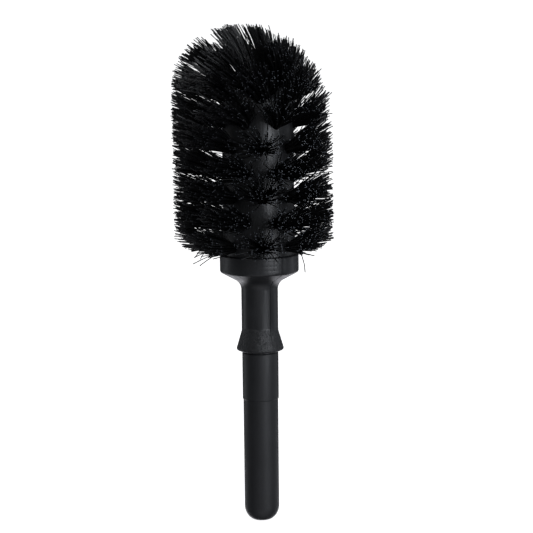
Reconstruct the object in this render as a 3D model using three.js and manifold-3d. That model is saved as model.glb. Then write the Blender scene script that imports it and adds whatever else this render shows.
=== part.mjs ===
// A hand-held wheel brush: a tufted bristle block whose threaded spigot screws into a hollow handle.
// Millimetres, +Z up the brush from handle to nose, -Y towards the viewer.
// The origin is on the axis at the middle of the handle, where the hand closes round it.

import * as THREE from 'three';
import { mergeVertices } from 'three/addons/utils/BufferGeometryUtils.js';
import Module from 'manifold-3d';

const wasm = await Module();
wasm.setup();

// Handle
const HANDLE_LENGTH = 82;
const HANDLE_RADIUS = 8.3;
const BAND_LENGTH = 22.8; // thicker stretch round the socket
const BAND_STEP = 0.32; // how far the band stands out from the handle
const MOUTH_CHAMFER = 0.5;
const BUTT_FLAT_RADIUS = 2.6;
const BUTT_ROUNDING = 7;
const HANDLE_WALL = 3.1; // round the hollow below the socket
const BUTT_WALL = 4.5;

// Screw thread between head and handle
const SPIGOT_RADIUS = 5.2;
const SPIGOT_LENGTH = 13.5;
const THREAD_HEIGHT = 1;
const THREAD_LEAD = 4;
const THREAD_TURNS = 2.4;
const THREAD_TOP = 2.6; // below the shoulder that each thread starts from
const THREAD_CLEARANCE = 0.3;
const SOCKET_SPARE_DEPTH = 1.5;

// Seal between the handle's mouth and the head
const SEAL_THICKNESS = 0.7;
const SEAL_INSET = 0.4; // from the band's surface
const FACE_GAP = 0.1;

// Head moulding, from its lower end upwards
const LAND_HEIGHT = 0.8;
const SKIRT_FLARE = 2.55; // how far the skirt stands out from the neck
const SKIRT_HEIGHT = 9.5;
const LIP_ROUNDING = 1;
const NECK_RADIUS = 8.7;
const NECK_LENGTH = 19.4;
const FILLET_REACH = 2.5;
const FILLET_HEIGHT = 5;
const SHOULDER_HEIGHT = 3.8;
const COLLAR_LEDGE = 1.85; // how far the collar stands out from the core
const COLLAR_HEIGHT = 8.2;
const COLLAR_ROUNDING = 0.5;
const CORE_RADIUS = 16.8;
const CORE_LENGTH = 69.2; // straight stretch above the collar, below the round nose
const NOSE_HEIGHT = 12;

// Tufts
const FIRST_ROW_HEIGHT = 4.2; // above the collar
const ROW_PITCH = 11.5;
const ROW_TILTS = [9, 12, 14, 16, 19, 24, 32]; // degrees upwards, one for each row
const TUFTS_PER_ROW = 7;
const FRONT_TURN = 5; // degrees from straight ahead to the first tuft
const NOSE_RINGS = [
  { count: 5, radius: 11, tilt: 53, turn: 41 },
  { count: 3, radius: 4.2, tilt: 79, turn: 60 },
];
const SIDE_BRISTLE_LENGTH = 20.5;
const NOSE_BRISTLE_LENGTH = 26;
const HOLE_RADIUS = 2.4;
const HOLE_DEPTH = 5;
const HOLE_CLEARANCE = 0.3;
const SPREAD = 0.24; // how much a tuft's radius grows for each millimetre of its length
const ROW_FAN = { wide: 1.4, high: 0.85 }; // how a row's tufts fan out sideways, as a share of a round spread
const NOSE_FAN = { wide: 0.78, high: 0.82 };
const CROWN_SHARE = 0.1; // rounded end, as a share of the free length
const LEAN_AT_COLLAR = 1.7; // sideways set of the tips towards -X
const LEAN_GROWTH = 0.00045; // more for each square millimetre of height above the collar

const ROUND_STEPS = 32;
const THREAD_STEPS = 20; // for each turn
const TUFT_SIDES = 8;

const BAND_RADIUS = HANDLE_RADIUS + BAND_STEP;
const CORED_RADIUS = HANDLE_RADIUS - HANDLE_WALL;
const SKIRT_RADIUS = NECK_RADIUS + SKIRT_FLARE;
const COLLAR_RADIUS = CORE_RADIUS + COLLAR_LEDGE;
const SEAT_HEIGHT = HANDLE_LENGTH + FACE_GAP;
const HEAD_HEIGHT = SEAT_HEIGHT + SEAL_THICKNESS + FACE_GAP;
const COLLAR_TOP = LAND_HEIGHT + SKIRT_HEIGHT + NECK_LENGTH + FILLET_HEIGHT + SHOULDER_HEIGHT + COLLAR_HEIGHT;
const NOSE_START = COLLAR_TOP + CORE_LENGTH;
const SOCKET_RADIUS = SPIGOT_RADIUS + THREAD_HEIGHT + THREAD_CLEARANCE;

const satinPlastic = { color: 0x2b2c2f, roughness: 0.42, metalness: 0 };
const gripPlastic = { color: 0x26272a, roughness: 0.38, metalness: 0 };
const sealRubber = { color: 0x0e0e10, roughness: 0.7, metalness: 0 };
const bristlePlastic = { color: 0x0b0b0d, roughness: 0.55, metalness: 0 };

function lathe(path, steps) {
  const geometry = new THREE.LatheGeometry(path.getPoints(4), steps);
  geometry.rotateX(Math.PI / 2);
  return geometry;
}

function toSolid(geometry) {
  const bare = geometry.clone();
  bare.deleteAttribute('normal');
  bare.deleteAttribute('uv');
  const merged = mergeVertices(bare, 1e-4);
  const corners = merged.index.array;
  const triangles = [];
  for (let i = 0; i < corners.length; i += 3) {
    const [a, b, c] = corners.slice(i, i + 3);
    if (a !== b && b !== c && c !== a) triangles.push(a, b, c);
  }
  return new wasm.Manifold(new wasm.Mesh({
    numProp: 3,
    vertProperties: new Float32Array(merged.attributes.position.array),
    triVerts: new Uint32Array(triangles),
  }));
}

function toGeometry(solid) {
  const { vertProperties, triVerts } = solid.getMesh();
  const geometry = new THREE.BufferGeometry();
  geometry.setAttribute('position', new THREE.BufferAttribute(vertProperties, 3));
  geometry.setIndex(new THREE.BufferAttribute(triVerts, 1));
  return geometry;
}

function piece(name, geometry, look) {
  const mesh = new THREE.Mesh(geometry, new THREE.MeshStandardMaterial(look));
  mesh.name = name;
  return mesh;
}

// A right-hand thread's ridge: a straight bar, extruded over an angle and wrapped down a helix.
// Its root is sunk a little into the wall that it stands on.
function threadRidge(rootRadius, crestRadius, topHeight) {
  const outwards = Math.sign(crestRadius - rootRadius);
  const sunkRadius = rootRadius - outwards * 0.4;
  const rootHalf = THREAD_LEAD * 0.275;
  const crestHalf = THREAD_LEAD * 0.15;
  const section = new THREE.Shape([
    new THREE.Vector2(sunkRadius, -rootHalf),
    new THREE.Vector2(rootRadius, -rootHalf),
    new THREE.Vector2(crestRadius, -crestHalf),
    new THREE.Vector2(crestRadius, crestHalf),
    new THREE.Vector2(rootRadius, rootHalf),
    new THREE.Vector2(sunkRadius, rootHalf),
  ]);
  const ridge = new THREE.ExtrudeGeometry(section, {
    steps: Math.round(THREAD_TURNS * THREAD_STEPS),
    depth: THREAD_TURNS * 2 * Math.PI,
    bevelEnabled: false,
  });
  const points = ridge.attributes.position;
  for (let i = 0; i < points.count; i += 1) {
    const radius = points.getX(i);
    const angle = -points.getZ(i);
    const height = topHeight + points.getY(i) + THREAD_LEAD * angle / (2 * Math.PI);
    points.setXYZ(i, radius * Math.cos(angle), radius * Math.sin(angle), height);
  }
  return toSolid(ridge);
}

// The handle stands on its butt end at height 0, with its mouth at HANDLE_LENGTH.
function makeHandle() {
  const socketFloor = HANDLE_LENGTH - SPIGOT_LENGTH - SOCKET_SPARE_DEPTH;
  const taper = SOCKET_RADIUS - CORED_RADIUS;
  const wall = new THREE.Path();
  wall.moveTo(0, 0);
  wall.lineTo(BUTT_FLAT_RADIUS, 0);
  wall.absellipse(
    BUTT_FLAT_RADIUS, BUTT_ROUNDING, HANDLE_RADIUS - BUTT_FLAT_RADIUS, BUTT_ROUNDING, -Math.PI / 2, 0, false, 0,
  );
  wall.lineTo(HANDLE_RADIUS, HANDLE_LENGTH - BAND_LENGTH);
  wall.lineTo(BAND_RADIUS, HANDLE_LENGTH - BAND_LENGTH + 0.3);
  wall.lineTo(BAND_RADIUS, HANDLE_LENGTH - MOUTH_CHAMFER);
  wall.lineTo(BAND_RADIUS - MOUTH_CHAMFER, HANDLE_LENGTH);
  wall.lineTo(SOCKET_RADIUS, HANDLE_LENGTH);
  wall.lineTo(SOCKET_RADIUS, socketFloor);
  wall.lineTo(CORED_RADIUS, socketFloor - taper);
  wall.lineTo(CORED_RADIUS, BUTT_WALL + CORED_RADIUS / 2);
  wall.lineTo(CORED_RADIUS / 2, BUTT_WALL);
  wall.lineTo(0, BUTT_WALL);
  const crestRadius = SPIGOT_RADIUS + THREAD_CLEARANCE;
  const threadTop = HANDLE_LENGTH - THREAD_TOP - THREAD_LEAD / 2;
  const solid = toSolid(lathe(wall, ROUND_STEPS)).add(threadRidge(SOCKET_RADIUS, crestRadius, threadTop));
  return piece('handle', toGeometry(solid), gripPlastic);
}

function makeSeal() {
  const innerRadius = SPIGOT_RADIUS + HOLE_CLEARANCE;
  const outerRadius = BAND_RADIUS - SEAL_INSET;
  const section = new THREE.Path();
  section.moveTo(innerRadius, 0);
  section.lineTo(outerRadius, 0);
  section.lineTo(outerRadius, SEAL_THICKNESS);
  section.lineTo(innerRadius, SEAL_THICKNESS);
  section.lineTo(innerRadius, 0);
  return piece('seal_ring', lathe(section, ROUND_STEPS), sealRubber);
}

// Outline of the head moulding, from the spigot's end up to the top of the nose.
function headOutline() {
  const lipHeight = LAND_HEIGHT + LIP_ROUNDING;
  const neckStart = LAND_HEIGHT + SKIRT_HEIGHT;
  const neckEnd = neckStart + NECK_LENGTH;
  const filletTop = neckEnd + FILLET_HEIGHT;
  const collarStart = filletTop + SHOULDER_HEIGHT;
  const outline = new THREE.Path();
  outline.moveTo(0, -SPIGOT_LENGTH);
  outline.lineTo(SPIGOT_RADIUS - 0.6, -SPIGOT_LENGTH);
  outline.lineTo(SPIGOT_RADIUS, -SPIGOT_LENGTH + 0.6);
  outline.lineTo(SPIGOT_RADIUS, 0);
  outline.lineTo(BAND_RADIUS, 0);
  outline.lineTo(BAND_RADIUS, LAND_HEIGHT);
  outline.lineTo(SKIRT_RADIUS - LIP_ROUNDING, LAND_HEIGHT);
  outline.absarc(SKIRT_RADIUS - LIP_ROUNDING, lipHeight, LIP_ROUNDING, -Math.PI / 2, 0.25, false);
  outline.lineTo(NECK_RADIUS, neckStart);
  outline.lineTo(NECK_RADIUS, neckEnd);
  outline.quadraticCurveTo(NECK_RADIUS, filletTop - FILLET_REACH / 2, NECK_RADIUS + FILLET_REACH, filletTop);
  outline.lineTo(COLLAR_RADIUS - COLLAR_ROUNDING, collarStart);
  outline.quadraticCurveTo(COLLAR_RADIUS, collarStart, COLLAR_RADIUS, collarStart + COLLAR_ROUNDING);
  outline.lineTo(COLLAR_RADIUS, COLLAR_TOP - COLLAR_ROUNDING);
  outline.lineTo(COLLAR_RADIUS - COLLAR_ROUNDING, COLLAR_TOP);
  outline.lineTo(CORE_RADIUS, COLLAR_TOP);
  outline.absellipse(0, NOSE_START, CORE_RADIUS, NOSE_HEIGHT, 0, Math.PI / 2, false, 0);
  return outline;
}

// A tuft's local frame: X sideways round the brush, Z along the bristles.
function tuftTurn(turn, tilt) {
  const sideways = new THREE.Vector3(Math.cos(turn), Math.sin(turn), 0);
  const along = new THREE.Vector3(
    Math.cos(tilt) * Math.sin(turn), -Math.cos(tilt) * Math.cos(turn), Math.sin(tilt),
  );
  const upwards = along.clone().cross(sideways);
  return new THREE.Quaternion().setFromRotationMatrix(new THREE.Matrix4().makeBasis(sideways, upwards, along));
}

function coreRadiusAt(height) {
  const share = Math.max(0, height - NOSE_START) / NOSE_HEIGHT;
  return CORE_RADIUS * Math.sqrt(1 - share * share);
}

function tuftPlace(name, turn, tilt, radius, height, length, fan) {
  const mouth = new THREE.Vector3(radius * Math.sin(turn), -radius * Math.cos(turn), height);
  return { name, mouth, turned: tuftTurn(turn, tilt), length, fan };
}

// Where each tuft leaves the core and which way it points.
function tuftPlaces() {
  const places = [];
  const toRadians = THREE.MathUtils.degToRad;
  ROW_TILTS.forEach((tilt, row) => {
    const height = COLLAR_TOP + FIRST_ROW_HEIGHT + row * ROW_PITCH;
    for (let i = 0; i < TUFTS_PER_ROW; i += 1) {
      const name = `tuft_row${row + 1}_${i + 1}`;
      const turn = toRadians(FRONT_TURN) + (i + row % 2 / 2) * 2 * Math.PI / TUFTS_PER_ROW;
      const radius = coreRadiusAt(height);
      places.push(tuftPlace(name, turn, toRadians(tilt), radius, height, SIDE_BRISTLE_LENGTH, ROW_FAN));
    }
  });
  NOSE_RINGS.forEach((ring, index) => {
    const height = NOSE_START + NOSE_HEIGHT * Math.sqrt(1 - (ring.radius / CORE_RADIUS) ** 2);
    for (let i = 0; i < ring.count; i += 1) {
      const name = `tuft_nose${index + 1}_${i + 1}`;
      const turn = toRadians(ring.turn) + i * 2 * Math.PI / ring.count;
      const tilt = toRadians(ring.tilt);
      places.push(tuftPlace(name, turn, tilt, ring.radius, height, NOSE_BRISTLE_LENGTH, NOSE_FAN));
    }
  });
  return places;
}

// A drill for one tuft's blind hole, run out past the core's surface.
function holeCutter({ mouth, turned }) {
  const runOut = CORE_RADIUS / 4;
  const drill = new THREE.CylinderGeometry(HOLE_RADIUS, HOLE_RADIUS, HOLE_DEPTH + runOut, TUFT_SIDES);
  drill.rotateX(Math.PI / 2);
  drill.translate(0, 0, (runOut - HOLE_DEPTH) / 2);
  drill.applyQuaternion(turned);
  drill.translate(mouth.x, mouth.y, mouth.z);
  return toSolid(drill);
}

function makeBristleBlock(places) {
  const shoulder = -THREAD_TOP;
  let solid = toSolid(lathe(headOutline(), ROUND_STEPS));
  solid = solid.add(threadRidge(SPIGOT_RADIUS, SPIGOT_RADIUS + THREAD_HEIGHT, shoulder - THREAD_LEAD / 4));
  for (const place of places) solid = solid.subtract(holeCutter(place));
  return piece('bristle_block', toGeometry(solid), satinPlastic);
}

// One tuft as a plain flared solid: a plug in its hole, a cone of bristles and a rounded crown.
// The free part fans out sideways and bends towards the side that the tips have set to.
function makeTuft({ name, mouth, turned, length, fan }) {
  const plugRadius = HOLE_RADIUS - HOLE_CLEARANCE;
  const plugDepth = HOLE_DEPTH - HOLE_CLEARANCE;
  const tipRadius = plugRadius + SPREAD * length;
  const crown = CROWN_SHARE * length;
  const flareStart = HOLE_RADIUS;
  const outline = new THREE.Path();
  outline.moveTo(0, -plugDepth);
  outline.lineTo(plugRadius, -plugDepth);
  outline.lineTo(plugRadius, flareStart);
  outline.lineTo((plugRadius + tipRadius) / 2, (length + flareStart) / 2);
  outline.lineTo(tipRadius, length - crown);
  outline.lineTo(tipRadius * 0.6, length);
  outline.lineTo(0, length);
  const geometry = lathe(outline, TUFT_SIDES);

  const tip = new THREE.Vector3(0, 0, length).applyQuaternion(turned).add(mouth);
  const tipHeight = tip.z - COLLAR_TOP;
  const lean = new THREE.Vector3(-(LEAN_AT_COLLAR + LEAN_GROWTH * tipHeight * tipHeight), 0, 0);
  lean.applyQuaternion(turned.clone().invert());
  const points = geometry.attributes.position;
  for (let i = 0; i < points.count; i += 1) {
    const share = Math.max(0, points.getZ(i) - flareStart) / (length - flareStart);
    const wide = 1 + (fan.wide - 1) * share;
    const high = 1 + (fan.high - 1) * share;
    const fanned = new THREE.Vector3(points.getX(i) * wide, points.getY(i) * high, points.getZ(i));
    fanned.addScaledVector(lean, share * share);
    points.setXYZ(i, fanned.x, fanned.y, fanned.z);
  }
  const tuft = piece(name, geometry, bristlePlastic);
  tuft.position.copy(mouth);
  tuft.quaternion.copy(turned);
  return tuft;
}

const places = tuftPlaces();

const head = new THREE.Group();
head.position.z = HEAD_HEIGHT;
head.add(makeBristleBlock(places));
for (const place of places) head.add(makeTuft(place));

const seal = makeSeal();
seal.position.z = SEAT_HEIGHT;

const brush = new THREE.Group();
brush.add(makeHandle(), seal, head);
brush.position.z = -HANDLE_LENGTH / 2;

export default brush;
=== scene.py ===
import math
import random

import bmesh
import bpy
from mathutils import Matrix, Vector


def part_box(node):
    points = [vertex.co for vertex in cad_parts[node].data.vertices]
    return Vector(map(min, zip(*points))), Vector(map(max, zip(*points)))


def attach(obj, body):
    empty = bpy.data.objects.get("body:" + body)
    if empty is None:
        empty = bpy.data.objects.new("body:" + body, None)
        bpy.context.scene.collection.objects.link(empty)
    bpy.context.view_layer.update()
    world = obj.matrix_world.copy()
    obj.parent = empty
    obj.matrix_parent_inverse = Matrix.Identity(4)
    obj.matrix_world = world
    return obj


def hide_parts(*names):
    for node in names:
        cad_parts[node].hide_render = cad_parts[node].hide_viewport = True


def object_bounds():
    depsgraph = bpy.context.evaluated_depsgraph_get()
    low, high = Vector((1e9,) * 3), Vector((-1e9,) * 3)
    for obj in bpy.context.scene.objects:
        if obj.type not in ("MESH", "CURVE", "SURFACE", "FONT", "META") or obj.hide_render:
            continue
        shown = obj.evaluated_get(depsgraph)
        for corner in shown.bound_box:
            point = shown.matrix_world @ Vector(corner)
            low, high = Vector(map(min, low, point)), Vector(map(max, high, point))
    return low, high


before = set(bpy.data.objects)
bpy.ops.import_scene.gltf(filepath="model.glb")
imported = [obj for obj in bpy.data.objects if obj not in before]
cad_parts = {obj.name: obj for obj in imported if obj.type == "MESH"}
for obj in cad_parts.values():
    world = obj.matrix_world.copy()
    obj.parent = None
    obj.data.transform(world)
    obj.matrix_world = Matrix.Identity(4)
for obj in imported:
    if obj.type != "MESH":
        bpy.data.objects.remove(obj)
cadLow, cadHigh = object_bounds()
print("frame loaded")

mm = 0.001
mergeDistance = 0.001 * mm  # points closer than this are one
cutDistance = 0.0005 * mm  # the same after a cut, where edges lie closer
handleLow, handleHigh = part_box("handle")
sealLow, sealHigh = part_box("seal_ring")
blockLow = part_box("bristle_block")[0]

# Camera, a long lens looking a little down on the brush
cameraSetup = {
    "lens": 108.07,  # mm
    "sensorWidth": 36,  # mm
    "distance": 757,  # mm
    "lookDown": 7.5,  # degrees
    "roll": -0.625,  # degrees, the brush leans a touch to the left
    "aimSideways": 3.4,  # mm
    "aimAboveHandle": 40.7,  # mm
}
aim = Vector((cameraSetup["aimSideways"] * mm, 0, handleHigh.z + cameraSetup["aimAboveHandle"] * mm))
turned = Matrix.Rotation(math.radians(90 - cameraSetup["lookDown"]), 4, "X")
rolled = Matrix.Rotation(math.radians(cameraSetup["roll"]), 4, "Z")
steppedBack = Matrix.Translation((0, 0, cameraSetup["distance"] * mm))
cameraData = bpy.data.cameras.new("brushCamera")
cameraData.lens = cameraSetup["lens"]
cameraData.sensor_width = cameraSetup["sensorWidth"]
camera = bpy.data.objects.new("brushCamera", cameraData)
camera.matrix_world = Matrix.Translation(aim) @ turned @ rolled @ steppedBack
bpy.context.scene.collection.objects.link(camera)
bpy.context.scene.camera = camera
bpy.context.scene.view_settings.view_transform = "Standard"
print("camera set")


def toLinear(hexColour):
    channels = [int(hexColour[i:i + 2], 16) / 255 for i in (1, 3, 5)]
    linear = [c / 12.92 if c <= 0.04045 else ((c + 0.055) / 1.055) ** 2.4 for c in channels]
    return (*linear, 1)


def perMetre(size):
    return 1 / (size * mm)


# Adds a node. An input is a number, a colour or another node's output.
def addNode(tree, kind, settings=None, inputs=None):
    node = tree.nodes.new(kind)
    for field, value in (settings or {}).items():
        setattr(node, field, value)
    for socket, value in (inputs or {}).items():
        if isinstance(value, bpy.types.NodeSocket):
            tree.links.new(value, node.inputs[socket])
        else:
            node.inputs[socket].default_value = value
    return node


def newTree(name):
    material = bpy.data.materials.new(name)
    material.use_nodes = True
    material.node_tree.nodes.clear()
    return material, material.node_tree


# Polypropylene, injection moulded with a fine spark-eroded finish: a soft, slightly waxy
# black with broad highlights, faint patches of tone and long flow streaks.
def mouldedPolypropylene(name, look):
    material, tree = newTree(name)
    place = addNode(tree, "ShaderNodeTexCoord").outputs["Object"]
    height = addNode(tree, "ShaderNodeSeparateXYZ", None, {"Vector": place}).outputs["Z"]
    patches = addNode(tree, "ShaderNodeTexNoise", None, {
        "Vector": place, "Scale": perMetre(look["patchSize"]), "Detail": 4, "Roughness": 0.6,
    }).outputs["Fac"]
    drawnOut = addNode(tree, "ShaderNodeMapping", None, {
        "Vector": place, "Scale": (1, 1, look["streakSquash"]),
    })
    streaks = addNode(tree, "ShaderNodeTexNoise", None, {
        "Vector": drawnOut.outputs["Vector"], "Scale": perMetre(look["streakWidth"]), "Detail": 3,
    }).outputs["Fac"]
    grain = addNode(tree, "ShaderNodeTexNoise", None, {
        "Vector": place, "Scale": perMetre(look["grainSize"]), "Detail": 2, "Roughness": 0.7,
    }).outputs["Fac"]
    stipple = addNode(tree, "ShaderNodeTexNoise", None, {
        "Vector": place, "Scale": perMetre(look["stippleSize"]), "Detail": 3, "Roughness": 0.65,
    }).outputs["Fac"]
    contrast = addNode(tree, "ShaderNodeMapRange", None, {
        "Value": patches, "From Min": 0.32, "From Max": 0.68,
    }).outputs["Result"]
    tone = addNode(tree, "ShaderNodeMix", {"data_type": "RGBA"}, {
        "Factor": contrast, 6: toLinear(look["dark"]), 7: toLinear(look["light"]),
    }).outputs[2]
    # A paler mottled colour below a set height: on the block's skirt lip it is a painted highlight, and on
    # the handle it is a paler mottle towards the butt.
    paleMottleBand = addNode(tree, "ShaderNodeMapRange", {"interpolation_type": "SMOOTHSTEP"}, {
        "Value": height, "From Min": look["paleMottleTop"] * mm, "From Max": look["paleMottleBottom"] * mm,
    }).outputs["Result"]
    paleMottleSpots = addNode(tree, "ShaderNodeMapRange", None, {
        "Value": stipple, "From Min": 0.5, "From Max": 0.75,
    }).outputs["Result"]
    paleMottleShare = addNode(tree, "ShaderNodeMath", {"operation": "MULTIPLY"}, {0: paleMottleBand, 1: paleMottleSpots}).outputs[0]
    colour = addNode(tree, "ShaderNodeMix", {"data_type": "RGBA"}, {
        "Factor": paleMottleShare, 6: tone, 7: toLinear(look["paleMottle"]),
    }).outputs[2]
    roughness = addNode(tree, "ShaderNodeMapRange", None, {
        "Value": streaks, "From Min": 0.3, "From Max": 0.7,
        "To Min": look["roughness"][0], "To Max": look["roughness"][1],
    }).outputs["Result"]
    stippled = addNode(tree, "ShaderNodeMapRange", {"interpolation_type": "SMOOTHSTEP"}, {
        "Value": height, "From Min": look["stippleTop"] * mm,
        "From Max": (look["stippleTop"] - look["stippleFade"]) * mm,
    }).outputs["Result"]
    stippleHeight = addNode(tree, "ShaderNodeMath", {"operation": "MULTIPLY"}, {
        0: stippled, 1: stipple,
    }).outputs[0]
    waves = addNode(tree, "ShaderNodeBump", None, {
        "Height": streaks, "Distance": look["streakDepth"] * mm, "Strength": 1,
    }).outputs["Normal"]
    dimples = addNode(tree, "ShaderNodeBump", None, {
        "Height": stippleHeight, "Distance": look["stippleDepth"] * mm, "Strength": 1, "Normal": waves,
    }).outputs["Normal"]
    surface = addNode(tree, "ShaderNodeBump", None, {
        "Height": grain, "Distance": look["grainDepth"] * mm, "Strength": 1, "Normal": dimples,
    }).outputs["Normal"]
    shader = addNode(tree, "ShaderNodeBsdfPrincipled", None, {
        "Base Color": colour, "Roughness": roughness, "Normal": surface, "IOR": 1.49,
    })
    addNode(tree, "ShaderNodeOutputMaterial", None, {"Surface": shader.outputs["BSDF"]})
    return material


# Rubber, die-cut from sheet: matt and nearly black, with a dusty bloom.
def dieCutRubber(name, look):
    material, tree = newTree(name)
    place = addNode(tree, "ShaderNodeTexCoord").outputs["Object"]
    bloom = addNode(tree, "ShaderNodeTexNoise", None, {
        "Vector": place, "Scale": perMetre(look["bloomSize"]), "Detail": 5,
    }).outputs["Fac"]
    colour = addNode(tree, "ShaderNodeMix", {"data_type": "RGBA"}, {
        "Factor": bloom, 6: toLinear(look["dark"]), 7: toLinear(look["light"]),
    }).outputs[2]
    surface = addNode(tree, "ShaderNodeBump", None, {
        "Height": bloom, "Distance": look["bloomDepth"] * mm, "Strength": 1,
    }).outputs["Normal"]
    shader = addNode(tree, "ShaderNodeBsdfPrincipled", None, {
        "Base Color": colour, "Roughness": look["roughness"], "Normal": surface, "IOR": 1.52,
    })
    addNode(tree, "ShaderNodeOutputMaterial", None, {"Surface": shader.outputs["BSDF"]})
    return material


# Polypropylene filament, extruded and drawn: deep black, with thin cool glints along it that
# change from one filament to the next. Its sheared ends are rougher and paler.
def drawnFilament(name, look):
    material, tree = newTree(name)
    place = addNode(tree, "ShaderNodeTexCoord").outputs["Object"]
    change = addNode(tree, "ShaderNodeTexNoise", None, {
        "Vector": place, "Scale": perMetre(look["changeSize"]), "Detail": 2,
    }).outputs["Fac"]
    scrape = addNode(tree, "ShaderNodeTexNoise", None, {
        "Vector": place, "Scale": perMetre(look["scrapeSize"]), "Detail": 2,
    }).outputs["Fac"]
    colour = addNode(tree, "ShaderNodeMix", {"data_type": "RGBA"}, {
        "Factor": change, 6: toLinear(look["dark"]), 7: toLinear(look["light"]),
    }).outputs[2]
    roughness = addNode(tree, "ShaderNodeMapRange", None, {
        "Value": change, "From Min": 0.3, "From Max": 0.7,
        "To Min": look["roughness"][0], "To Max": look["roughness"][1],
    }).outputs["Result"]
    surface = addNode(tree, "ShaderNodeBump", None, {
        "Height": scrape, "Distance": look["scrapeDepth"] * mm, "Strength": 1,
    }).outputs["Normal"]
    shader = addNode(tree, "ShaderNodeBsdfPrincipled", None, {
        "Base Color": colour, "Roughness": roughness, "Normal": surface, "IOR": 1.49,
    })
    addNode(tree, "ShaderNodeOutputMaterial", None, {"Surface": shader.outputs["BSDF"]})
    return material


# Steel strip, galvanised: grey metal with a faint spangle.
def galvanisedSteel(name, look):
    material, tree = newTree(name)
    place = addNode(tree, "ShaderNodeTexCoord").outputs["Object"]
    spangle = addNode(tree, "ShaderNodeTexVoronoi", None, {
        "Vector": place, "Scale": perMetre(look["spangleSize"]),
    }).outputs["Distance"]
    colour = addNode(tree, "ShaderNodeMix", {"data_type": "RGBA"}, {
        "Factor": spangle, 6: toLinear(look["dark"]), 7: toLinear(look["light"]),
    }).outputs[2]
    roughness = addNode(tree, "ShaderNodeMapRange", None, {
        "Value": spangle, "To Min": look["roughness"][0], "To Max": look["roughness"][1],
    }).outputs["Result"]
    shader = addNode(tree, "ShaderNodeBsdfPrincipled", None, {
        "Base Color": colour, "Metallic": 1, "Roughness": roughness,
    })
    addNode(tree, "ShaderNodeOutputMaterial", None, {"Surface": shader.outputs["BSDF"]})
    return material


blockPlastic = mouldedPolypropylene("moulded polypropylene block", {
    # The third, paler colour is a painted highlight, mottled over the skirt's lip up to 44.5 mm.
    "dark": "#161719", "light": "#1d1e20", "paleMottle": "#27282b",
    "roughness": (0.36, 0.5),
    "patchSize": 9, "streakWidth": 2.2, "streakSquash": 0.12, "streakDepth": 0.09,
    "grainSize": 0.5, "grainDepth": 0.02,  # real grain is near 0.1 mm, too fine to show
    "stippleSize": 1.1, "stippleDepth": 0.5, "stippleTop": 53, "stippleFade": 1,
    "paleMottleTop": 44.5, "paleMottleBottom": 42.6,
})
handlePlastic = mouldedPolypropylene("moulded polypropylene handle", {
    "dark": "#151618", "light": "#1b1c1f", "paleMottle": "#26272a",
    "roughness": (0.44, 0.56),
    "patchSize": 11, "streakWidth": 2.6, "streakSquash": 0.05, "streakDepth": 0.04,
    "grainSize": 0.5, "grainDepth": 0.025,
    "stippleSize": 0.9, "stippleDepth": 0.05, "stippleTop": 42, "stippleFade": 1,
    "paleMottleTop": -33, "paleMottleBottom": -40,
})
sealRubber = dieCutRubber("die-cut rubber", {
    "dark": "#08080a", "light": "#121214", "roughness": 0.75, "bloomSize": 0.8, "bloomDepth": 0.03,
})
filamentPlastic = drawnFilament("drawn polypropylene filament", {
    "dark": "#070708", "light": "#0d0e10", "roughness": (0.26, 0.44),
    "changeSize": 1.4, "scrapeSize": 0.4, "scrapeDepth": 0.01,
})
shearedPlastic = drawnFilament("sheared filament end", {
    "dark": "#2c2e32", "light": "#6c7178", "roughness": (0.5, 0.7),
    "changeSize": 0.7, "scrapeSize": 0.2, "scrapeDepth": 0.02,
})
anchorSteel = galvanisedSteel("galvanised steel strip", {
    "dark": "#6e7276", "light": "#a3a7aa", "roughness": (0.3, 0.5), "spangleSize": 0.8,
})
print("materials made")


# Closes a bmesh into a piece: one skin, normals outwards, smooth but for its sharp edges.
def makePiece(bm, name, materials, sharpAngle=35):
    bmesh.ops.remove_doubles(bm, verts=bm.verts, dist=mergeDistance)
    bmesh.ops.recalc_face_normals(bm, faces=bm.faces)
    for face in bm.faces:
        face.smooth = True
    for edge in bm.edges:
        edge.smooth = edge.calc_face_angle(0) < math.radians(sharpAngle)
    mesh = bpy.data.meshes.new(name)
    bm.to_mesh(mesh)
    bm.free()
    for material in materials:
        mesh.materials.append(material)
    piece = bpy.data.objects.new(name, mesh)
    bpy.context.scene.collection.objects.link(piece)
    return piece


roundingSegments = 6


# Spins an outline once round the brush's axis. Each corner is radius, height and, where the
# moulding is rounded there, the length of the rounding along each side, all in millimetres.
def spinOutline(corners, datum, steps, closed=False):
    bm = bmesh.new()
    made = [bm.verts.new((corner[0] * mm, 0, datum + corner[1] * mm)) for corner in corners]
    for start, end in zip(made, made[1:]):
        bm.edges.new((start, end))
    if closed:
        bm.edges.new((made[-1], made[0]))
    for vert, corner in zip(made, corners):
        if len(corner) == 3:
            bmesh.ops.bevel(bm, geom=[vert], offset=corner[2] * mm, offset_type="OFFSET",
                            segments=roundingSegments, profile=0.5, affect="VERTICES", material=-1)
    bmesh.ops.spin(bm, geom=bm.verts[:] + bm.edges[:], cent=(0, 0, 0), axis=(0, 0, 1),
                   angle=2 * math.pi, steps=steps, use_merge=True)
    bmesh.ops.remove_doubles(bm, verts=bm.verts, dist=mergeDistance)
    return bm


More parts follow.
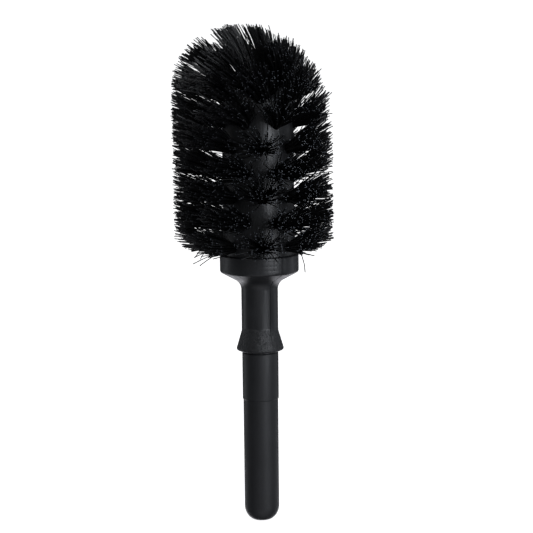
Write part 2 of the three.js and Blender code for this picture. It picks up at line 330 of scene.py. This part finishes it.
# A right-hand thread's ridge, spun downwards from its top. Its root is sunk into the wall.
def threadRidge(rootRadius, crestRadius, topHeight, thread):
    outwards = math.copysign(1, crestRadius - rootRadius)
    sunkRadius = rootRadius - outwards * thread["sunk"]
    rootHalf = thread["lead"] * thread["rootShare"]
    crestHalf = thread["lead"] * thread["crestShare"]
    bm = bmesh.new()
    section = [
        (sunkRadius, -rootHalf), (rootRadius, -rootHalf), (crestRadius, -crestHalf),
        (crestRadius, crestHalf), (rootRadius, rootHalf), (sunkRadius, rootHalf),
    ]
    verts = [bm.verts.new((radius * mm, 0, topHeight + height * mm)) for radius, height in section]
    face = bm.faces.new(verts)
    steps = round(thread["turns"] * thread["stepsPerTurn"])
    drop = Vector((0, 0, -thread["lead"] * thread["turns"] * mm / steps))
    bmesh.ops.spin(bm, geom=verts + face.edges[:] + [face], cent=(0, 0, 0), axis=(0, 0, 1),
                   dvec=drop, angle=-2 * math.pi * thread["turns"], steps=steps)
    return makePiece(bm, "threadRidge", [])


# Joins a tool to a piece or cuts it away, and takes the tool off the bench.
def combine(piece, tool, operation, sharpAngle=35):
    cut = piece.modifiers.new("cut", "BOOLEAN")
    cut.operation = operation
    cut.solver = "EXACT"
    cut.object = tool
    evaluated = piece.evaluated_get(bpy.context.evaluated_depsgraph_get())
    bm = bmesh.new()
    bm.from_mesh(evaluated.to_mesh())
    piece.modifiers.remove(cut)
    bpy.data.objects.remove(tool)
    bmesh.ops.remove_doubles(bm, verts=bm.verts, dist=cutDistance)
    bmesh.ops.dissolve_degenerate(bm, edges=bm.edges, dist=cutDistance)
    for edge in bm.edges:
        edge.smooth = edge.calc_face_angle(0) < math.radians(sharpAngle)
    bm.to_mesh(piece.data)
    bm.free()


# Thread, shared by the handle's socket and the head's spigot
thread = {
    "spigotRadius": 5.2, "height": 1, "lead": 4, "turns": 2.4, "topGap": 2.6, "clearance": 0.3,
    "sunk": 0.4,  # how far its root goes into the wall
    "rootShare": 0.275, "crestShare": 0.15,  # half widths, as shares of the lead
    "stepsPerTurn": 48,
}
socketRadius = thread["spigotRadius"] + thread["height"] + thread["clearance"]

# Handle: a hollow moulded stick with a band round its screw socket
handle = {
    "radius": 8.3, "bandRadius": 8.62, "bandLength": 22.8, "mouthChamfer": 0.5,
    "bandRamp": 0.3, "bandRounding": 0.12, "mouthRounding": 0.2, "socketRounding": 0.15,
    "buttFlat": 2.6, "buttRounding": 7, "buttSteps": 12, "buttWall": 4.5,
    "socketDepth": 15, "hollowRadius": 5.2, "hollowRounding": 1, "steps": 128,
}
handleTop = (handleHigh.z - handleLow.z) / mm
buttWidth = handle["radius"] - handle["buttFlat"]
buttBow = [
    (handle["buttFlat"] + buttWidth * math.sin(angle), handle["buttRounding"] * (1 - math.cos(angle)))
    for angle in [math.radians(90 * step / handle["buttSteps"]) for step in range(handle["buttSteps"] + 1)]
]
bandStart = handleTop - handle["bandLength"]
handleOutline = [
    (0, 0),
    *buttBow,
    (handle["radius"], bandStart),
    (handle["bandRadius"], bandStart + handle["bandRamp"], handle["bandRounding"]),
    (handle["bandRadius"], handleTop - handle["mouthChamfer"], handle["mouthRounding"]),
    (handle["bandRadius"] - handle["mouthChamfer"], handleTop, handle["mouthRounding"]),
    (socketRadius, handleTop, handle["socketRounding"]),
    (socketRadius, handleTop - handle["socketDepth"]),
    (handle["hollowRadius"], handleTop - handle["socketDepth"] - socketRadius + handle["hollowRadius"]),
    (handle["hollowRadius"], handle["buttWall"] + handle["hollowRadius"] / 2, handle["hollowRounding"]),
    (handle["hollowRadius"] / 2, handle["buttWall"], handle["hollowRounding"]),
    (0, handle["buttWall"]),
]
stick = makePiece(spinOutline(handleOutline, handleLow.z, handle["steps"]), "stick_handle", [handlePlastic])
socketThreadTop = handleHigh.z - (thread["topGap"] + thread["lead"] / 2) * mm
socketCrest = thread["spigotRadius"] + thread["clearance"]
socketThread = threadRidge(socketRadius, socketCrest, socketThreadTop, thread)
combine(stick, socketThread, "UNION")
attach(stick, "handle")
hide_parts("handle")
print("handle made")

# Seal: a flat ring with softly rolled edges
seal = {"innerRadius": 5.5, "outerRadius": 8.22, "edge": 0.18, "steps": 96}
sealHeight = (sealHigh.z - sealLow.z) / mm
sealOutline = [
    (seal["innerRadius"], 0, seal["edge"]), (seal["outerRadius"], 0, seal["edge"]),
    (seal["outerRadius"], sealHeight, seal["edge"]), (seal["innerRadius"], sealHeight, seal["edge"]),
]
sealRing = makePiece(spinOutline(sealOutline, sealLow.z, seal["steps"], True), "rubber_seal", [sealRubber])
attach(sealRing, "seal")
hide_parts("seal_ring")
print("seal made")

# Bristle block: spigot, land, skirt, neck, cone, collar and core as one moulding
block = {
    "spigotLength": 13.5, "spigotChamfer": 0.6, "spigotRounding": 0.2,
    "landRadius": 8.62, "landHeight": 0.8, "landRounding": 0.12, "ledgeRounding": 0.2,
    "skirtRadius": 11.52, "skirtRounding": 1.3, "skirtTop": 10.3, "neckRadius": 8.7, "neckRounding": 0.6,
    "filletCorner": 33.1, "filletLength": 3, "collarBottom": 38.5, "collarTop": 46.7,
    "collarRadius": 18.65, "collarRounding": 0.8, "rimRounding": 0.7,
    "lineDrops": (5.9, 3.9, 1.8), "lineHalf": 0.15, "lineDepth": 0.02,
    "coreRadius": 16.8, "coreRounding": 0.3, "coreLength": 69.2, "noseHeight": 12, "noseSteps": 18,
    "steps": 128, "sharpAngle": 30,
}
headDatum = blockLow.z + block["spigotLength"] * mm
noseStart = block["collarTop"] + block["coreLength"]
noseBow = [
    (block["coreRadius"] * math.cos(angle), noseStart + block["noseHeight"] * math.sin(angle))
    for angle in [math.radians(90 * step / block["noseSteps"]) for step in range(block["noseSteps"])]
]
collarLines = []
for drop in block["lineDrops"]:  # faint witness lines round the collar
    lineHeight = block["collarTop"] - drop
    collarLines += [
        (block["collarRadius"], lineHeight - block["lineHalf"]),
        (block["collarRadius"] - block["lineDepth"], lineHeight),
        (block["collarRadius"], lineHeight + block["lineHalf"]),
    ]
blockOutline = [
    (0, -block["spigotLength"]),
    (thread["spigotRadius"] - block["spigotChamfer"], -block["spigotLength"]),
    (thread["spigotRadius"], block["spigotChamfer"] - block["spigotLength"]),
    (thread["spigotRadius"], 0, block["spigotRounding"]),
    (block["landRadius"], 0, block["landRounding"]),
    (block["landRadius"], block["landHeight"], block["ledgeRounding"]),
    (block["skirtRadius"], block["landHeight"], block["skirtRounding"]),
    (block["neckRadius"], block["skirtTop"], block["neckRounding"]),
    (block["neckRadius"], block["filletCorner"], block["filletLength"]),
    (block["collarRadius"], block["collarBottom"], block["collarRounding"]),
    *collarLines,
    (block["collarRadius"], block["collarTop"], block["rimRounding"]),
    (block["coreRadius"], block["collarTop"], block["coreRounding"]),
    *noseBow,
    (0, noseStart + block["noseHeight"]),
]
blockMesh = spinOutline(blockOutline, headDatum, block["steps"])

# Mould marks: a groove up the block and two faint lines on its collar, each with a partner opposite
mouldMarks = [
    {
        "turn": 34, "width": 0.75, "depth": 0.45,
        "from": block["landHeight"] + 2, "to": noseStart,
    },
    {
        "turn": 22.4, "width": 0.6, "depth": 0.06,
        "from": block["collarBottom"] + 1.6, "to": block["collarTop"] - 0.4,
    },
    {
        "turn": 39.4, "width": 0.5, "depth": 0.08,
        "from": block["collarBottom"] + 0.9, "to": block["collarTop"] - 0.4,
    },
]
unmarkedRadius = thread["spigotRadius"] * mm * 1.2  # nearer the axis than this, nothing is marked
bmesh.ops.recalc_face_normals(blockMesh, faces=blockMesh.faces)
for mark in mouldMarks:
    turn = math.radians(mark["turn"])
    across = Vector((math.cos(turn), math.sin(turn), 0))
    for offset in (-mark["width"] / 2, 0, mark["width"] / 2):
        everything = blockMesh.verts[:] + blockMesh.edges[:] + blockMesh.faces[:]
        bmesh.ops.bisect_plane(blockMesh, geom=everything, dist=cutDistance,
                               plane_co=across * offset * mm, plane_no=across)
    blockMesh.normal_update()
    sunk = []
    for vert in blockMesh.verts:
        height = (vert.co.z - headDatum) / mm
        radius = Vector((vert.co.x, vert.co.y, 0)).length
        onMark = abs(vert.co.dot(across)) < mergeDistance and mark["from"] < height < mark["to"]
        if onMark and radius > unmarkedRadius:
            sunk.append((vert, vert.normal.copy()))
    for vert, outwards in sunk:
        vert.co -= outwards * mark["depth"] * mm
moulding = makePiece(blockMesh, "bristle_moulding", [blockPlastic], block["sharpAngle"])

# Tufts: where each leaves the core and which way it points, in the head's own millimetres
tuftLayout = {
    "firstRow": 4.2, "rowPitch": 11.5, "rowTilts": [9, 12, 14, 16, 19, 24, 32], "perRow": 7, "frontTurn": 5,
    "noseRings": [
        {"count": 5, "radius": 11, "tilt": 53, "turn": 41, "fan": (0.9, 0.85)},
        {"count": 3, "radius": 4.2, "tilt": 79, "turn": 60, "fan": (0.42, 0.6)},
    ],
    "rowLength": 20.5, "noseLength": 26, "rowFan": (1.9, 0.88),
    # tufts trimmed longer or shorter than the rest, as a share of their length
    "uneven": {"nose2_2": 0.76, "nose1_1": 1.05, "nose1_3": 0.93, "nose1_5": 0.95},
    "holeRadius": 2.4, "holeDepth": 5, "leanAtCollar": 1.7, "leanGrowth": 0.00045,
}


def tuftPlace(name, turnDegrees, tiltDegrees, radius, height, length, fan):
    turn = math.radians(turnDegrees)
    tilt = math.radians(tiltDegrees)
    sideways = Vector((math.cos(turn), math.sin(turn), 0))
    along = Vector((math.cos(tilt) * math.sin(turn), -math.cos(tilt) * math.cos(turn), math.sin(tilt)))
    mouth = Vector((radius * math.sin(turn), -radius * math.cos(turn), height))
    return {
        "name": name, "mouth": mouth, "along": along, "sideways": sideways,
        "upwards": along.cross(sideways), "length": length, "fan": fan,
    }


tuftPlaces = []
for row, tilt in enumerate(tuftLayout["rowTilts"]):
    height = block["collarTop"] + tuftLayout["firstRow"] + row * tuftLayout["rowPitch"]
    onNose = max(0, height - noseStart) / block["noseHeight"]
    radius = block["coreRadius"] * math.sqrt(1 - onNose * onNose)
    for index in range(tuftLayout["perRow"]):
        turn = tuftLayout["frontTurn"] + (index + row % 2 / 2) * 360 / tuftLayout["perRow"]
        tuftPlaces.append(tuftPlace(
            f"row{row + 1}_{index + 1}", turn, tilt, radius, height,
            tuftLayout["rowLength"], tuftLayout["rowFan"],
        ))
for number, ring in enumerate(tuftLayout["noseRings"]):
    rise = math.sqrt(1 - (ring["radius"] / block["coreRadius"]) ** 2)
    for index in range(ring["count"]):
        turn = ring["turn"] + index * 360 / ring["count"]
        tuftPlaces.append(tuftPlace(
            f"nose{number + 1}_{index + 1}", turn, ring["tilt"], ring["radius"],
            noseStart + block["noseHeight"] * rise, tuftLayout["noseLength"], ring["fan"],
        ))


# Turns a shape made along +Z at the origin to lie along a tuft's axis.
def tuftMatrix(place, depth):
    axes = Matrix((place["sideways"], place["upwards"], place["along"])).transposed().to_4x4()
    centre = (place["mouth"] + place["along"] * depth) * mm + Vector((0, 0, headDatum))
    return Matrix.Translation(centre) @ axes


# Holes: drilled along each tuft's axis, from outside the core
drill = {"runOut": 4.2, "sides": 20}
drillRadius = tuftLayout["holeRadius"] * mm
drillLength = (tuftLayout["holeDepth"] + drill["runOut"]) * mm
drillMiddle = (drill["runOut"] - tuftLayout["holeDepth"]) / 2
drills = bmesh.new()
for place in tuftPlaces:
    bmesh.ops.create_cone(
        drills, cap_ends=True, segments=drill["sides"], radius1=drillRadius, radius2=drillRadius,
        depth=drillLength, matrix=tuftMatrix(place, drillMiddle))
drillTool = makePiece(drills, "drills", [])
combine(moulding, drillTool, "DIFFERENCE", block["sharpAngle"])
spigotThreadTop = headDatum - (thread["topGap"] + thread["lead"] / 4) * mm
spigotCrest = thread["spigotRadius"] + thread["height"]
spigotThread = threadRidge(thread["spigotRadius"], spigotCrest, spigotThreadTop, thread)
combine(moulding, spigotThread, "UNION", block["sharpAngle"])
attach(moulding, "head")
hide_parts("bristle_block")
print("block made", len(moulding.data.polygons))

# Anchors: a flat strip of steel across the bottom of each hole, which pins the folded tuft
anchor = {"length": 5.6, "width": 1.5, "thickness": 0.3, "edge": 0.06, "depth": 4.1}
anchorSize = (anchor["length"] * mm, anchor["thickness"] * mm, anchor["width"] * mm)
anchorMesh = bmesh.new()
for place in tuftPlaces:
    made = bmesh.ops.create_cube(anchorMesh, size=1)["verts"]
    bmesh.ops.scale(anchorMesh, vec=anchorSize, verts=made)
    edges = list({edge for vert in made for edge in vert.link_edges})
    shaped = bmesh.ops.bevel(anchorMesh, geom=edges, offset=anchor["edge"] * mm, offset_type="OFFSET",
                             segments=1, profile=0.5, affect="EDGES", material=-1)
    whole = list({vert for face in shaped["faces"] for vert in face.verts})
    bmesh.ops.transform(anchorMesh, matrix=tuftMatrix(place, -anchor["depth"]), verts=whole)
anchors = makePiece(anchorMesh, "tuft_anchors", [anchorSteel])
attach(anchors, "head")
print("anchors made")

# Bristles: each tuft is a bundle of blunt-cut filaments trimmed to the brush's outline
bristle = {
    "filaments": 110, "diameter": 0.44, "sides": 5, "cuts": (0.17, 0.36, 0.54, 0.7, 0.86), "sharpAngle": 50,
    "bundleRadius": 2.1, "rootDepth": 4.4,
    "turnBetween": 2.39996, "turnJitter": 0.2,  # radians: the golden angle packs the bundle evenly
    "spread": 0.3, "splayJitter": 1.45, "splayPower": 0.9, "tuftJitter": 1.25,
    "curl": 0.7, "wave": 0.15, "waveAngle": 5, "strayShare": 0.015, "strayBend": 3.2,
    # the outline that the tips are trimmed to, and how far from it they end up
    "trimRadius": 36.6, "trimRise": 38, "trimCentre": 115.3, "leftExtra": 0.9,
    "underCentre": 56.7, "underRise": 12, "boxInset": 0.45,
    "trimJitter": 0.03, "shortShare": 0.18, "shortRange": (0.86, 0.97),
    # reach is a filament's length as a share of its tuft's
    "firstReach": 0.6, "longestReach": 1.5, "shortestReach": 0.5, "reachStep": 0.01,
    "seed": 7,
    # single filaments that have set to one side, by tuft: where each tip ends up from its place, in mm
    "bent": {
        "row1_1": [(5.1, 0, -9)],
        "row1_2": [(-4.5, 0, -12), (-5, 2, -6)],
        "row1_3": [(-6, 0, -8)],
        "row1_6": [(6, -4, -9.5), (3, 0, -8), (7, 2, -9)],
        "row1_7": [(-3, 4, -7.5), (-1, 0, -6), (-5, 4, -6.5)],
    },
}
filament = bmesh.new()
bmesh.ops.create_cone(filament, cap_ends=True, segments=bristle["sides"], radius1=1, radius2=1, depth=1)
bmesh.ops.translate(filament, verts=filament.verts, vec=(0, 0, 0.5))
for cut in bristle["cuts"]:
    everything = filament.verts[:] + filament.edges[:] + filament.faces[:]
    bmesh.ops.bisect_plane(filament, geom=everything, plane_co=(0, 0, cut), plane_no=(0, 0, 1))
for face in filament.faces:
    atTip = face.calc_center_median().z > 0.999
    face.material_index = 1 if atTip else 0
filamentMesh = bpy.data.meshes.new("filament")
filament.to_mesh(filamentMesh)
filament.free()


# How far a point is from the trimmed outline: under 1 is inside.
def trimShare(point):
    radial = math.hypot(point.x, point.y)
    limit = bristle["trimRadius"] + bristle["leftExtra"] * max(0, -point.x) / max(radial, 1)
    above = max(0, point.z - bristle["trimCentre"]) / bristle["trimRise"]
    below = max(0, bristle["underCentre"] - point.z) / bristle["underRise"]
    return math.hypot(radial / limit, above, below)


# Keeps a tip within the outer box of the brush.
def insideBox(point):
    inset = bristle["boxInset"] * mm
    placed = point * mm + Vector((0, 0, headDatum))
    return all(low + inset < value < high - inset for low, value, high in zip(cadLow, placed, cadHigh))


# A random offset, as likely one way as another.
def anyWay(dice, spread):
    return Vector([dice.gauss(0, spread) for axis in range(3)])


def makeBristles(place, dice):
    length = place["length"]
    wide, high = place["fan"]
    tipRadius = bristle["bundleRadius"] + bristle["spread"] * length
    tipHeight = (place["mouth"] + place["along"] * length).z - block["collarTop"]
    lean = Vector((-(tuftLayout["leanAtCollar"] + tuftLayout["leanGrowth"] * tipHeight * tipHeight), 0, 0))
    radius = bristle["diameter"] / 2
    uneven = tuftLayout["uneven"].get(place["name"], 1)
    bentTips = bristle["bent"].get(place["name"], [])
    drift = place["sideways"] * dice.gauss(0, 1) + place["upwards"] * dice.gauss(0, 1)
    drift *= bristle["tuftJitter"]
    bm = bmesh.new()
    for index in range(bristle["filaments"]):
        share = math.sqrt((index + 0.5) / bristle["filaments"])
        angle = index * bristle["turnBetween"] + dice.uniform(-bristle["turnJitter"], bristle["turnJitter"])
        across = share * math.cos(angle)
        upward = share * math.sin(angle)
        root = (place["sideways"] * across + place["upwards"] * upward) * bristle["bundleRadius"]
        splayAcross = across * tipRadius * wide + dice.gauss(0, bristle["splayJitter"])
        splayUpward = upward * tipRadius * high + dice.gauss(0, bristle["splayJitter"])
        splay = drift + place["sideways"] * splayAcross + place["upwards"] * splayUpward
        curl = anyWay(dice, bristle["curl"])
        if dice.random() < bristle["strayShare"]:
            curl += anyWay(dice, bristle["strayBend"])
        if index < len(bentTips):
            curl = Vector(bentTips[index])
        wave = anyWay(dice, bristle["wave"])
        phase = dice.uniform(0, 2 * math.pi)
        straight = place["along"] * length + splay
        reach = bristle["firstReach"]
        while trimShare(place["mouth"] + straight * reach) < 1 and reach < bristle["longestReach"]:
            reach += bristle["reachStep"]
        reach *= uneven * (1 + dice.gauss(0, bristle["trimJitter"]))
        if dice.random() < bristle["shortShare"]:
            reach *= dice.uniform(*bristle["shortRange"])
        bent = lean + curl + wave * math.sin(phase + bristle["waveAngle"])
        while not insideBox(place["mouth"] + straight * reach + bent) and reach > bristle["shortestReach"]:
            reach -= bristle["reachStep"]
        start = len(bm.verts)
        bm.from_mesh(filamentMesh)
        bm.verts.ensure_lookup_table()
        whole = bristle["rootDepth"] + length * reach
        for vert in bm.verts[start:]:
            distance = vert.co.z * whole - bristle["rootDepth"]
            grown = max(0, distance) / (length * reach)
            centre = place["mouth"] + place["along"] * distance
            centre += root * (1 - grown) + splay * reach * grown ** bristle["splayPower"]
            swing = math.sin(phase + bristle["waveAngle"] * grown)
            centre += (lean + curl) * grown * grown + wave * swing * grown
            heading = place["along"] * length * reach + splay * reach - root + (lean + curl) * 2 * grown
            ring = place["sideways"] * vert.co.x + place["upwards"] * vert.co.y
            if distance > 0:
                ring.rotate(place["along"].rotation_difference(heading))
            vert.co = (centre + ring * radius) * mm + Vector((0, 0, headDatum))
    materials = [filamentPlastic, shearedPlastic]
    return makePiece(bm, "bristles_" + place["name"], materials, bristle["sharpAngle"])


dice = random.Random(bristle["seed"])
for place in tuftPlaces:
    tuft = makeBristles(place, dice)
    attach(tuft, "head")
    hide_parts("tuft_" + place["name"])
print("bristles made", len(tuftPlaces))

# Stage: a white bowl that the lens sees but the brush doesn't, so that its blacks stay deep
stage = {
    "radius": 1.7, "height": 2.6, "bend": 0.6,  # metres
    "steps": 64, "colour": "#f5f5f4", "glow": 0.9, "roughness": 0.9,
    "fibreSize": 4, "fibreDepth": 0.05,  # mm
}
stageOutline = [
    (0, 0), (stage["radius"] / mm, 0, stage["bend"] / mm), (stage["radius"] / mm, stage["height"] / mm),
]
paper, paperTree = newTree("white paper sweep")
paperPlace = addNode(paperTree, "ShaderNodeTexCoord").outputs["Object"]
paperFibre = addNode(paperTree, "ShaderNodeTexNoise", None, {
    "Vector": paperPlace, "Scale": perMetre(stage["fibreSize"]), "Detail": 3,
}).outputs["Fac"]
paperBump = addNode(paperTree, "ShaderNodeBump", None, {
    "Height": paperFibre, "Distance": stage["fibreDepth"] * mm,
}).outputs["Normal"]
paperShader = addNode(paperTree, "ShaderNodeBsdfPrincipled", None, {
    "Base Color": toLinear(stage["colour"]), "Roughness": stage["roughness"], "Normal": paperBump,
    "Emission Color": (1, 1, 1, 1), "Emission Strength": stage["glow"],
})
addNode(paperTree, "ShaderNodeOutputMaterial", None, {"Surface": paperShader.outputs["BSDF"]})
sweep = makePiece(spinOutline(stageOutline, handleLow.z, stage["steps"]), "paper_sweep", [paper])
sweep.data.flip_normals()
sweep.visible_diffuse = False
sweep.visible_glossy = False
sweep.visible_shadow = False

# Lights: angles in degrees round the brush, 0 from the front and 90 from its right, sizes in metres
lights = [
    {
        "name": "key", "turn": 39, "rise": 13, "distance": 1.1, "size": (0.38, 0.8),
        "power": 7.8, "colour": "#f4f8ff",
    },
    {
        "name": "fill", "turn": -35, "rise": 35, "distance": 1.3, "size": (0.8, 0.8),
        "power": 1.5, "colour": "#ffffff",
    },
    {
        "name": "rightRim", "turn": 112, "rise": 0, "distance": 1, "size": (0.3, 1.1),
        "power": 0.9, "colour": "#f4f8ff",
    },
    {
        "name": "leftRim", "turn": -112, "rise": 0, "distance": 1, "size": (0.3, 1.1),
        "power": 1, "colour": "#f4f8ff",
    },
    {
        "name": "floor", "turn": 10, "rise": -48, "distance": 1, "size": (1.4, 0.8),
        "power": 2, "colour": "#f8f8ff",
    },
    {
        "name": "under", "turn": 180, "rise": -38, "distance": 1, "size": (1.4, 0.5),
        "power": 4.5, "colour": "#f8f8ff",
    },
    {
        "name": "back", "turn": 180, "rise": 40, "distance": 1.3, "size": (0.9, 0.6),
        "power": 3, "colour": "#ffffff",
    },
]
middle = Vector((0, 0, (cadLow.z + cadHigh.z) / 2))
for light in lights:
    lamp = bpy.data.lights.new(light["name"], "AREA")
    lamp.shape = "RECTANGLE"
    lamp.size, lamp.size_y = light["size"]
    lamp.energy = light["power"]
    lamp.color = toLinear(light["colour"])[:3]
    turn = math.radians(light["turn"])
    rise = math.radians(light["rise"])
    away = Vector((math.sin(turn) * math.cos(rise), -math.cos(turn) * math.cos(rise), math.sin(rise)))
    lampObject = bpy.data.objects.new(light["name"], lamp)
    lampObject.location = middle + away * light["distance"]
    lampObject.rotation_euler = away.to_track_quat("Z", "Y").to_euler()
    lampObject.visible_camera = False
    bpy.context.scene.collection.objects.link(lampObject)

# World: a faint even light for what the lamps don't reach
surround = {"colour": "#e8ecf2", "strength": 0.12}
world = bpy.data.worlds.new("studio")
bpy.context.scene.world = world
world.use_nodes = True
background = world.node_tree.nodes["Background"]
background.inputs["Color"].default_value = toLinear(surround["colour"])
background.inputs["Strength"].default_value = surround["strength"]
print("stage and lights set")
